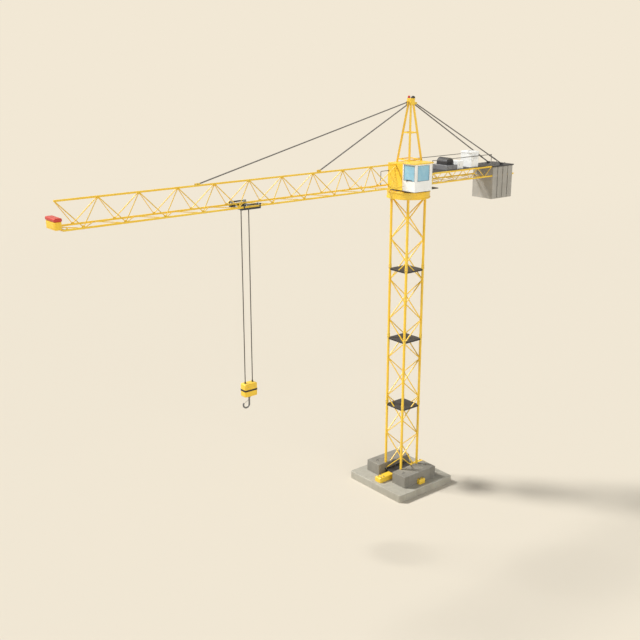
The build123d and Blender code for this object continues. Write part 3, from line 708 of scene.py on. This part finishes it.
def turretFittings():
    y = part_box("turret_frame")[0].y
    half = turret["doorHalf"]
    low, high = turret["doorZ"]
    door = panel("door", (-half, y - turret["doorOut"], low), (half, y + seat, high), (0, -1, 0),
                 *turret["doorSunk"])
    vents = []
    low, high = turret["ventZ"]
    for side in (-1, 1):
        inner, outer = sorted(side * edge for edge in turret["ventY"])
        vents.append(slats("vent", (turret["shoulder"] - turret["ventOut"], inner, low),
                           (turret["shoulder"] + seat, outer, high), turret["blades"], (-1, 0, 0)))
    dress(join("turretPanels", [door] + vents), "slewing_part", "yellowPaint")
    x, z = turret["handle"]
    place = frameAt((x, y - turret["handleOut"], z), (0, 0, 1), (0, -1, 0))
    fit("turretHandle", pull(*turret["pull"]), [place], "slewing_part", "galvanisedSteel")


seals = dict(bar=0.02, out=0.007, deep=0.02, frontIn=0.15, frontOut=0.085, sideRear=0.35, sideFront=0.25)


def cabSeals():  # round the front, rear and side windows, with margins from the shell's corners
    low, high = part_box("cab_shell")
    base, top = (corner.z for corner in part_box("cab_windows"))
    bar, out, deep = seals["bar"], seals["out"], seals["deep"]
    inner, outer = low.y + seals["frontIn"], high.y - seals["frontOut"]
    rear, front = low.x + seals["sideRear"], high.x - seals["sideFront"]
    bars = surround((high.x - deep, inner, base), (high.x + out, outer, top), bar)
    bars += surround((low.x - out, inner, base), (low.x + deep, outer, top), bar)
    bars += surround((rear, high.y - deep, base), (front, high.y + out, top), bar)
    dress(join("windowSeals", bars), "slewing_part", "greyPaint")


wiper = dict(bladeY=(1.22, 1.87), bladeZ=(0.03, 0.07), bladeIn=0.012, bladeOut=0.02, rubber=0.35,
             bevel=0.006, armY=(1.55, 1.33), armZ=(0.05, -0.05), armOut=0.026, arm=0.01, pivot=0.02,
             pivotIn=0.005, pivotOut=0.038)


def cabWiper():  # heights are from the foot of the front window
    x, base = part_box("cab_shell")[1].x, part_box("cab_windows")[0].z
    (y0, y1), (z0, z1) = wiper["bladeY"], wiper["bladeZ"]
    blade = block("blade", (x - wiper["bladeIn"], y0, base + z0), (x + wiper["bladeOut"], y1, base + z1),
                  wiper["bevel"])
    pick(blade, towards((-1, 0, 0)))
    bpy.ops.transform.resize(value=(1, 1, wiper["rubber"]))  # thins to the rubber that lies on the pane
    editDone()
    (y0, y1), (z0, z1) = wiper["armY"], wiper["armZ"]
    out = x + wiper["armOut"]
    arm = rod("arm", (out, y0, base + z0), (out, y1, base + z1), wiper["arm"], sides=8, bevel=0.003)
    pivot = rod("pivot", (x - wiper["pivotIn"], y1, base + z1), (x + wiper["pivotOut"], y1, base + z1),
                wiper["pivot"], sides=12, bevel=0.005)
    dress(join("cabWiper", [blade, arm, pivot]), "slewing_part", "blackCover")


entry = dict(seamY=(0.945, 2.155), seamZ=(24.63, 26.5), seam=0.024, seamOut=0.006, seamIn=0.01,
             kickY=(1.01, 2.1), kickZ=(24.7, 25.2), kickOut=0.01, kickSunk=(0.03, 0.004),
             hingeY=0.94, hingeZ=(24.8, 25.5, 26.2), hingeLong=0.12, hinge=0.016,
             handles=((0.005, 2.06, 25.24), (0.002, 2.185, 25.5)), pull=(0.2, 0.05))


def cabDoor():  # the way in is at the back, from the platform
    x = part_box("cab_shell")[0].x
    (y0, y1), (z0, z1) = entry["seamY"], entry["seamZ"]
    seam = surround((x - entry["seamOut"], y0, z0), (x + entry["seamIn"], y1, z1), entry["seam"])
    (y0, y1), (z0, z1) = entry["kickY"], entry["kickZ"]
    kick = panel("kick", (x - entry["kickOut"], y0, z0), (x + seat, y1, z1), (-1, 0, 0), *entry["kickSunk"])
    dress(join("cabDoor", seam + [kick]), "slewing_part", "whitePaint")
    hinges = []
    for z in entry["hingeZ"]:
        low = Vector((x - entry["hinge"], entry["hingeY"], z))
        high = low + Vector((0, 0, entry["hingeLong"]))
        hinges.append(rod("hinge", low, high, entry["hinge"], sides=10, bevel=0.004))
    dress(join("cabHinges", hinges), "slewing_part", "galvanisedSteel")
    places = [frameAt((x - out, y, z), (0, 0, 1), (-1, 0, 0)) for out, y, z in entry["handles"]]
    fit("cabHandles", pull(*entry["pull"]), places, "slewing_part", "galvanisedSteel")


turretFittings()
cabSeals()
cabWiper()
cabDoor()
print("cab fitted out")

fork = dict(half=0.009, margin=0.025, sink=0.004, bevel=0.006, pin=0.03, pinOut=0.035)


def forks(name, spots, finish):  # pairs of cheeks with a pin, each spot a place, gap, length and height
    cheeks, pins = [], []
    for place, gap, length, height in spots:
        place, half = Vector(place), Vector((length / 2, fork["half"], height / 2))
        for side in (-1, 1):
            spot = place + Vector((0, side * gap, 0))
            cheek = block("cheek", spot - half, spot + half, fork["bevel"])
            cheeks.append(press(cheek, (0, side, 0), fork["margin"], -fork["sink"]))
        out = Vector((0, gap + fork["pinOut"], 0))
        pins.append(rod("pin", place - out, place + out, fork["pin"], sides=12, bevel=fork["bevel"]))
    dress(join(name, cheeks), "slewing_part", finish)
    dress(join(name + "Pins", pins), "slewing_part", "boltSteel")


# forks as gap, length and height; places on a rear stay as shares of it, and a nut as a share of the sleeve
stays = dict(apex=((0.33, 0, 30.88), (0.33, 0, 30.71)), apexFork=(0.05, 0.25, 0.14),
             longFoot=(18.76, 0, 26.47), longFork=(0.05, 0.36, 0.13),
             shortFoot=(8.82, 0, 26.5), shortFork=(0.05, 0.3, 0.16),
             rearFrom=(0.0, 0.1075, 30.963), rearTo=(-10.08, 0.72, 25.533),
             rearTop=0.033, rearTopFork=(0.056, 0.24, 0.16), rearEnd=0.982, rearEndFork=(0.06, 0.3, 0.14),
             sleeve=(0.84, 0.9), sleeveRadius=0.06, nut=0.06, nutRadius=0.07)


def stayEnds():
    tops = [(place, *stays["apexFork"]) for place in stays["apex"]]
    feet = [(stays["longFoot"], *stays["longFork"]), (stays["shortFoot"], *stays["shortFork"])]
    tails, sleeves = [], []
    for side in (-1, 1):
        start, end = (Vector(stays[key]) * Vector((1, side, 1)) for key in ("rearFrom", "rearTo"))
        tops.append((start.lerp(end, stays["rearTop"]), *stays["rearTopFork"]))
        tails.append((start.lerp(end, stays["rearEnd"]), *stays["rearEndFork"]))
        a, b = (start.lerp(end, share) for share in stays["sleeve"])
        sleeves.append(rod("sleeve", a, b, stays["sleeveRadius"], sides=10, bevel=0.01))
        for share in (-stays["nut"], 1.0):  # a lock nut before and after the sleeve
            nutEnd = a.lerp(b, share + stays["nut"])
            sleeves.append(rod("nut", a.lerp(b, share), nutEnd, stays["nutRadius"], sides=6, bevel=0.008))
    forks("apexForks", tops, "yellowPaint")
    forks("chordForks", feet, "yellowPaint")
    forks("lidForks", tails, "darkSteel")
    dress(join("stayTighteners", sleeves), "slewing_part", "staySteel")


beacon = dict(collar=0.112, height=0.024, bevel=0.006, margin=0.01, rise=0.004)


def beaconCollar():
    x, y = middle("beacon").xy
    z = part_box("beacon")[0].z
    collar = rod("beaconCollar", (x, y, z), (x, y, z + beacon["height"]), beacon["collar"], sides=20,
                 bevel=beacon["bevel"])
    dress(press(collar, (0, 0, 1), beacon["margin"], beacon["rise"]), "slewing_part", "darkSteel")


stayEnds()
beaconCollar()
print("stays pinned")

jib = dict(pitch=2.7116, bays=10, footY=0.735, topY=0.033, topZ=26.352, slope=(0.4085, 0.9128),
           plate=(0.24, 0.1, 0.012))


def jibGussets():  # on the sloping sides, under the top chord and on the bottom ones
    lean, rise = jib["slope"]
    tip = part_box("jib_bracing_cab_side")[1].x
    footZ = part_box("jib_bottom_chord_cab_side")[1].z
    places = []
    for side in (-1, 1):
        for k in range(jib["bays"]):
            x = tip - k * jib["pitch"]
            if k:
                spot = (x, side * jib["topY"], jib["topZ"])
                places.append(frameAt(spot, (1, 0, 0), (0, side * lean, -rise)))
            spot = (x - jib["pitch"] / 2, side * jib["footY"], footZ)
            places.append(frameAt(spot, (1, 0, 0), (0, -side * lean, rise)))
    fit("jibGussets", gusset(*jib["plate"]), places, "slewing_part", "yellowPaint")


track = dict(y=(0.778, 0.82), stops=((4.1, 4.2), (27.98, 28.08)), height=0.11, sunk=0.004, bevel=0.006,
             narrows=0.5)


def trackStops():  # blocks on the chords that the trolley's wheels meet past the ends of its travel
    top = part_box("jib_bottom_chord_cab_side")[1].z
    stops = []
    for low, high in track["stops"]:
        for side in (-1, 1):
            inner, outer = sorted(side * edge for edge in track["y"])
            stop = block("stop", (low, inner, top - track["sunk"]), (high, outer, top + track["height"]),
                         track["bevel"])
            pick(stop, towards((0, 0, 1)))
            bpy.ops.transform.resize(value=(track["narrows"], 1, 1))
            editDone()
            stops.append(stop)
    dress(join("trackStops", stops), "slewing_part", "yellowPaint")


tipPlate = dict(half=0.5, z=(24.87, 25.18), out=0.012, sunk=(0.04, 0.005))


def tipPanel():
    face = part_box("jib_tip_box")[1].x
    low, high = tipPlate["z"]
    half = tipPlate["half"]
    plate = panel("tipPanel", (face - seat, -half, low), (face + tipPlate["out"], half, high), (1, 0, 0),
                  *tipPlate["sunk"])
    dress(plate, "slewing_part", "yellowPaint")


jibGussets()
trackStops()
tipPanel()
print("jib fitted")

rails = dict(disc=0.052, discHigh=0.014, margin=0.012, rise=0.004, collar=0.037, collarZ=(0.01, 0.07))


def railFeet():  # under each post of the handrails, and where the root handrail meets the turret
    flange = disc("disc", 0, rails["discHigh"], rails["disc"], sides=20, bevel=0.004)
    press(flange, (0, 0, 1), rails["margin"], rails["rise"])
    collar = disc("collar", *rails["collarZ"], rails["collar"], sides=16, bevel=0.005)
    low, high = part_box("handrail_cab_side")
    y, tube = (low.y + high.y) / 2, (high.y - low.y) / 2
    places = [at((x, side * y, low.z)) for x in (high.x - tube, low.x + tube) for side in (-1, 1)]
    low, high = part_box("root_handrail")
    y = (low.y + high.y) / 2
    places += [at((high.x - tube, y, low.z)), at((low.x, y, high.z - tube), (1, 0, 0))]
    fit("railFeet", join("foot", [flange, collar]), places, "slewing_part", "galvanisedSteel")


housing = dict(side=0.04, gap=0.015, low=0.05, high=0.06, out=0.014, sunk=(0.03, 0.005),
               pullIn=0.08, pullOut=0.008, pull=(0.12, 0.03, 0.008))
tallCap = dict(out=0.025, height=0.17)


def doors(low, high, count):  # a row of doors on both long sides of a housing, and where their pulls go
    width = (high.x - low.x - 2 * housing["side"]) / count
    base, top = low.z + housing["low"], high.z - housing["high"]
    made, places = [], []
    for side, y in ((-1, low.y), (1, high.y)):
        inner, outer = sorted((y - side * seat, y + side * housing["out"]))
        for k in range(count):
            left = low.x + housing["side"] + k * width + housing["gap"]
            right = left + width - 2 * housing["gap"]
            made.append(panel("door", (left, inner, base), (right, outer, top), (0, side, 0),
                              *housing["sunk"]))
            spot = (right - housing["pullIn"], y + side * housing["pullOut"], (base + top) / 2)
            places.append(frameAt(spot, (0, 0, 1), (0, side, 0)))
    return made, places


tallVents = dict(ends=0.16, drop=(0.42, 0.14), out=(0.004, 0.018), blades=6)
hoodVents = dict(ends=0.12, rise=(0.06, 0.26), out=(-seat, 0.016), blades=5)


def sideVents(vents, low, high, z):  # louvres on both long sides of a housing
    made = []
    for side, y in ((1, high.y), (-1, low.y)):
        inner, outer = sorted(y + side * out for out in vents["out"])
        start, end = (low.x + vents["ends"], inner, z[0]), (high.x - vents["ends"], outer, z[1])
        made.append(slats("vent", start, end, vents["blades"], (0, side, 0)))
    return made


def deckHousings():
    pulls = []
    for node, name, count, finish in (("small_cabinet", "smallCabinetDoors", 1, "whitePaint"),
                                      ("tall_cabinet", "tallCabinetDoors", 1, "whitePaint"),
                                      ("winch_base", "winchDoors", 2, "greyPaint")):
        low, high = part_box(node)
        if node == "tall_cabinet":  # its box is that of the cap, which overhangs the walls
            out = tallCap["out"]
            low, high = low + Vector((out, out, 0)), high - Vector((out, out, tallCap["height"]))
        made, places = doors(low, high, count)
        if node == "tall_cabinet":
            made += sideVents(tallVents, low, high, [high.z - drop for drop in tallVents["drop"]])
        pulls += places
        dress(join(name, made), "slewing_part", finish)
    fit("housingPulls", pull(*housing["pull"]), pulls, "slewing_part", "galvanisedSteel")
    low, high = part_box("winch_hood")
    vents = sideVents(hoodVents, low, high, [low.z + rise for rise in hoodVents["rise"]])
    dress(join("hoodVents", vents), "slewing_part", "darkSteel")


weight = dict(slabs=4, groove=0.08, loopY=0.42, loop=(0.16, 0.017), tieY=0.7, tieZ=(23.25, 24.35))
tiePlate = dict(half=0.075, thick=0.018, bevel=0.004, margin=0.02, rise=0.004,
                stud=0.022, studZ=(0.01, 0.05), nut=0.04, nutZ=(0.018, 0.045))


def weightLoops():  # two on the lid above each slab
    low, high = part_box("counterweight_slabs")
    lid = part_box("counterweight_lid")[1].z
    pitch = (high.x - low.x + weight["groove"]) / weight["slabs"]
    first = high.x - (pitch - weight["groove"]) / 2
    places = []
    for k in range(weight["slabs"]):
        places += [at((first - k * pitch, y, lid)) for y in (-weight["loopY"], weight["loopY"])]
    fit("weightLoops", eye(*weight["loop"]), places, "slewing_part", "galvanisedSteel")


def weightTies():  # plates and nuts on the rear ends of the rods that hold the slabs together
    half = tiePlate["half"]
    washer = block("washer", (-half, -half, 0), (half, half, tiePlate["thick"]), tiePlate["bevel"])
    press(washer, (0, 0, 1), tiePlate["margin"], tiePlate["rise"])
    stud = disc("end", *tiePlate["studZ"], tiePlate["stud"], sides=8)
    nut = disc("nut", *tiePlate["nutZ"], tiePlate["nut"], sides=6)
    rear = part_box("counterweight_slabs")[0].x
    y = weight["tieY"]
    places = [at((rear, side * y, z), (-1, 0, 0)) for z in weight["tieZ"] for side in (-1, 1)]
    fit("weightTies", join("tie", [washer, stud, nut]), places, "slewing_part", "boltSteel")


railFeet()
deckHousings()
weightLoops()
weightTies()
print("counter-jib fitted")

trolley = dict(wheelX=0.48, wheelDrop=0.045, wheelNut=0.048, drumX=0.4543, drumY=0.46, drumNut=0.042,
               rims=(-0.392, -0.056, 0.056, 0.392), rim=0.122, rimThick=0.014, rimMargin=0.03, rimSink=0.002,
               bumperY=0.873, bumper=0.034, bumperZ=(-0.004, 0.06), bumperMargin=0.008, bumperSink=0.006)


def trolleyFittings():
    low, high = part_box("trolley_frame")
    x = (low.x + high.x) / 2
    wheelZ, drumZ = high.z - trolley["wheelDrop"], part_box("hoist_ropes")[1].z
    wheels, drums, rims, bumpers = [], [], [], []
    for way in (-1, 1):
        for side in (-1, 1):
            wheels.append(at((x + way * trolley["wheelX"], side * high.y, wheelZ), (0, side, 0)))
            drums.append(at((x + way * trolley["drumX"], side * trolley["drumY"], drumZ), (0, side, 0)))
            bumpers.append(at((x + way * (high.x - x), side * trolley["bumperY"], wheelZ), (way, 0, 0)))
        for y in trolley["rims"]:
            rims.append(at((x + way * trolley["drumX"], y - trolley["rimThick"] / 2, drumZ), (0, 1, 0)))
    fit("wheelNuts", bolt(trolley["wheelNut"]), wheels, "trolley", "rollerSteel")
    fit("drumNuts", bolt(trolley["drumNut"]), drums, "trolley", "rollerSteel")
    rim = disc("rim", 0, trolley["rimThick"], trolley["rim"], sides=28, bevel=0.003)
    press(rim, (0, 0, 1), trolley["rimMargin"], -trolley["rimSink"])
    fit("drumRims", rim, rims, "trolley", "rollerSteel")
    pad = disc("pad", *trolley["bumperZ"], trolley["bumper"], sides=16, bevel=0.012)
    press(pad, (0, 0, 1), trolley["bumperMargin"], -trolley["bumperSink"])
    fit("trolleyBumpers", pad, bumpers, "trolley", "blackCover")


swivel = dict(collar=0.118, collarZ=(-0.075, -0.01), margin=0.02, rise=0.006, nut=0.1, nutZ=(-0.16, -0.07))


def hookCollar():  # the swivel's collar and nut, hung from the foot of the block
    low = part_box("hook_block_housing")[0].z
    x = middle("hook_block_housing").x
    parts = []
    for name, sides in (("collar", 24), ("nut", 6)):
        base, top = (low + rise for rise in swivel[name + "Z"])
        parts.append(rod(name, (x, 0, base), (x, 0, top), swivel[name], sides, bevel=0.01))
    press(parts[0], (0, 0, -1), swivel["margin"], swivel["rise"])
    dress(join("hookCollar", parts), "hook", "hookSteel")


hookEnd = dict(place=(15.6499, 0, 10.7705), radius=0.06, lean=20, narrows=0.92, drawn=1.25)


def hookPoint():  # closes the end of the hook's bar, drawn out past it
    deselectAll()
    bpy.ops.mesh.primitive_uv_sphere_add(segments=24, ring_count=14, radius=hookEnd["radius"])
    piece = named("hookPoint")
    pick(piece, lambda face: face.center.z > 0)
    size = hookEnd["narrows"], hookEnd["narrows"], hookEnd["drawn"]
    bpy.ops.transform.resize(value=size, center_override=(0, 0, 0))
    editDone()
    lean = math.radians(hookEnd["lean"])
    across, up = (math.cos(lean), 0, math.sin(lean)), (-math.sin(lean), 0, math.cos(lean))
    piece.data.transform(frameAt(hookEnd["place"], across, up))
    dress(piece, "hook", "hookSteel")


gate = dict(hinge=(15.24, 10.97), end=(15.612, 10.79), hingeY=0.04, endY=0.02, wire=0.006, barY=0.024,
            pin=0.012, pinY=0.05)


def hookGate():  # two wires that close on a cross bar, and the pin that they hang from
    (x0, z0), (x1, z1) = gate["hinge"], gate["end"]
    wire, bar, pin = gate["wire"], gate["barY"], gate["pinY"]
    parts = [rod("wire", (x0, side * gate["hingeY"], z0), (x1, side * gate["endY"], z1), wire, sides=8)
             for side in (-1, 1)]
    parts.append(rod("bar", (x1, -bar, z1), (x1, bar, z1), wire, sides=8, bevel=0.002))
    parts.append(rod("pin", (x0, -pin, z0), (x0, pin, z0), gate["pin"], sides=10, bevel=0.003))
    dress(join("hookGate", parts), "hook", "hookSteel")


boss = dict(x=0.24, drop=0.225, radius=0.085, z=(-0.004, 0.014), bevel=0.005, margin=0.03, sink=0.005,
            bolt=0.026)


def blockBosses():  # discs and bolts on the cheeks of the hook block
    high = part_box("hook_block_housing")[1]
    x = middle("hook_block_housing").x
    plate = disc("disc", *boss["z"], boss["radius"], sides=24, bevel=boss["bevel"])
    press(plate, (0, 0, 1), boss["margin"], -boss["sink"])
    z = high.z - boss["drop"]
    places = [at((x + along, y, z), (0, y, 0)) for along, y in corners(boss["x"], high.y)]
    fit("blockDiscs", plate, places, "hook_block", "yellowPaint")
    fit("blockBolts", bolt(boss["bolt"]), places, "hook_block", "boltSteel", "hook_steel")


trolleyFittings()
hookCollar()
hookGate()
hookPoint()
blockBosses()
print("trolley and hook fitted")

stage = dict(cream="f2e8d5", matt=0.735, radius=420.0, fadeStart=0.2, fadeEnd=0.45)


def studioFloor():  # matt near the crane, fading to the backdrop's own cream
    deselectAll()
    bpy.ops.mesh.primitive_circle_add(vertices=96, radius=stage["radius"], fill_type="NGON")
    floor = named("studioFloor")
    f = startFinish("floorCream")
    distance = f.add("VectorMath", {"operation": "LENGTH"}, {0: f.place()}, out="Value")
    far = f.band(distance, stage["radius"] * stage["fadeStart"], stage["radius"] * stage["fadeEnd"])
    dull = [part * stage["matt"] for part in tone(stage["cream"])[:3]] + [1.0]
    matt = f.add("BsdfDiffuse", None, {"Color": dull})
    glow = f.add("Emission", None, {"Color": tone(stage["cream"])})
    floor.data.materials.append(f.close(f.add("MixShader", None, {0: far, 1: matt, 2: glow})))


lamps = dict(sky=0.28, skyTint=(0.97, 0.985, 1.0, 1.0), distance=60,
             sun=1.27, sunFrom=(0.643, -0.766), sunRise=47, sunSpread=12,
             fill=0.54, fillFrom=(0.3, 0.95), fillRise=12, fillSpread=70)


def studioSky():  # plain light, and the backdrop's cream where it is seen, mirrored or looked through to
    world = bpy.data.worlds.new("studio")
    bpy.context.scene.world = world
    f = Finish(world)
    rays = [f.add("LightPath", out="Is %s Ray" % kind) for kind in ("Camera", "Glossy", "Transmission")]
    seen = f.maths("MAXIMUM", f.maths("MAXIMUM", rays[0], rays[1]), rays[2])
    sky = f.add("Background", None, {"Color": lamps["skyTint"], "Strength": lamps["sky"]})
    backdrop = f.add("Background", None, {"Color": tone(stage["cream"])})
    f.close(f.add("MixShader", None, {0: seen, 1: sky, 2: backdrop}), "OutputWorld")


def studioLamps():
    for lamp in ("sun", "fill"):
        rise = math.radians(lamps[lamp + "Rise"])
        flat = Vector(lamps[lamp + "From"]).normalized() * math.cos(rise)
        source = Vector((flat.x, flat.y, math.sin(rise)))
        deselectAll()
        bpy.ops.object.light_add(type="SUN", location=source * lamps["distance"])
        light = bpy.context.object
        light.name = lamp
        light.data.energy = lamps[lamp] * math.pi
        light.data.angle = math.radians(lamps[lamp + "Spread"])
        light.rotation_euler = source.to_track_quat("Z", "Y").to_euler()


view = dict(place=(49.698, 50.13, 34.884), yaw=230.74, dip=16.572, lens=51.85, sensor=36.0, reach=2000.0)


def studioCamera():
    yaw, dip = math.radians(view["yaw"]), math.radians(view["dip"])
    ahead = Vector((math.cos(yaw) * math.cos(dip), math.sin(yaw) * math.cos(dip), -math.sin(dip)))
    deselectAll()
    bpy.ops.object.camera_add(location=view["place"], rotation=ahead.to_track_quat("-Z", "Y").to_euler())
    camera = bpy.context.object
    camera.data.lens = view["lens"]
    camera.data.sensor_width = view["sensor"]
    camera.data.clip_end = view["reach"]
    bpy.context.scene.camera = camera


studioFloor()
studioSky()
studioLamps()
studioCamera()
bpy.context.scene.view_settings.view_transform = "Standard"
print("stage, lamps and camera set")
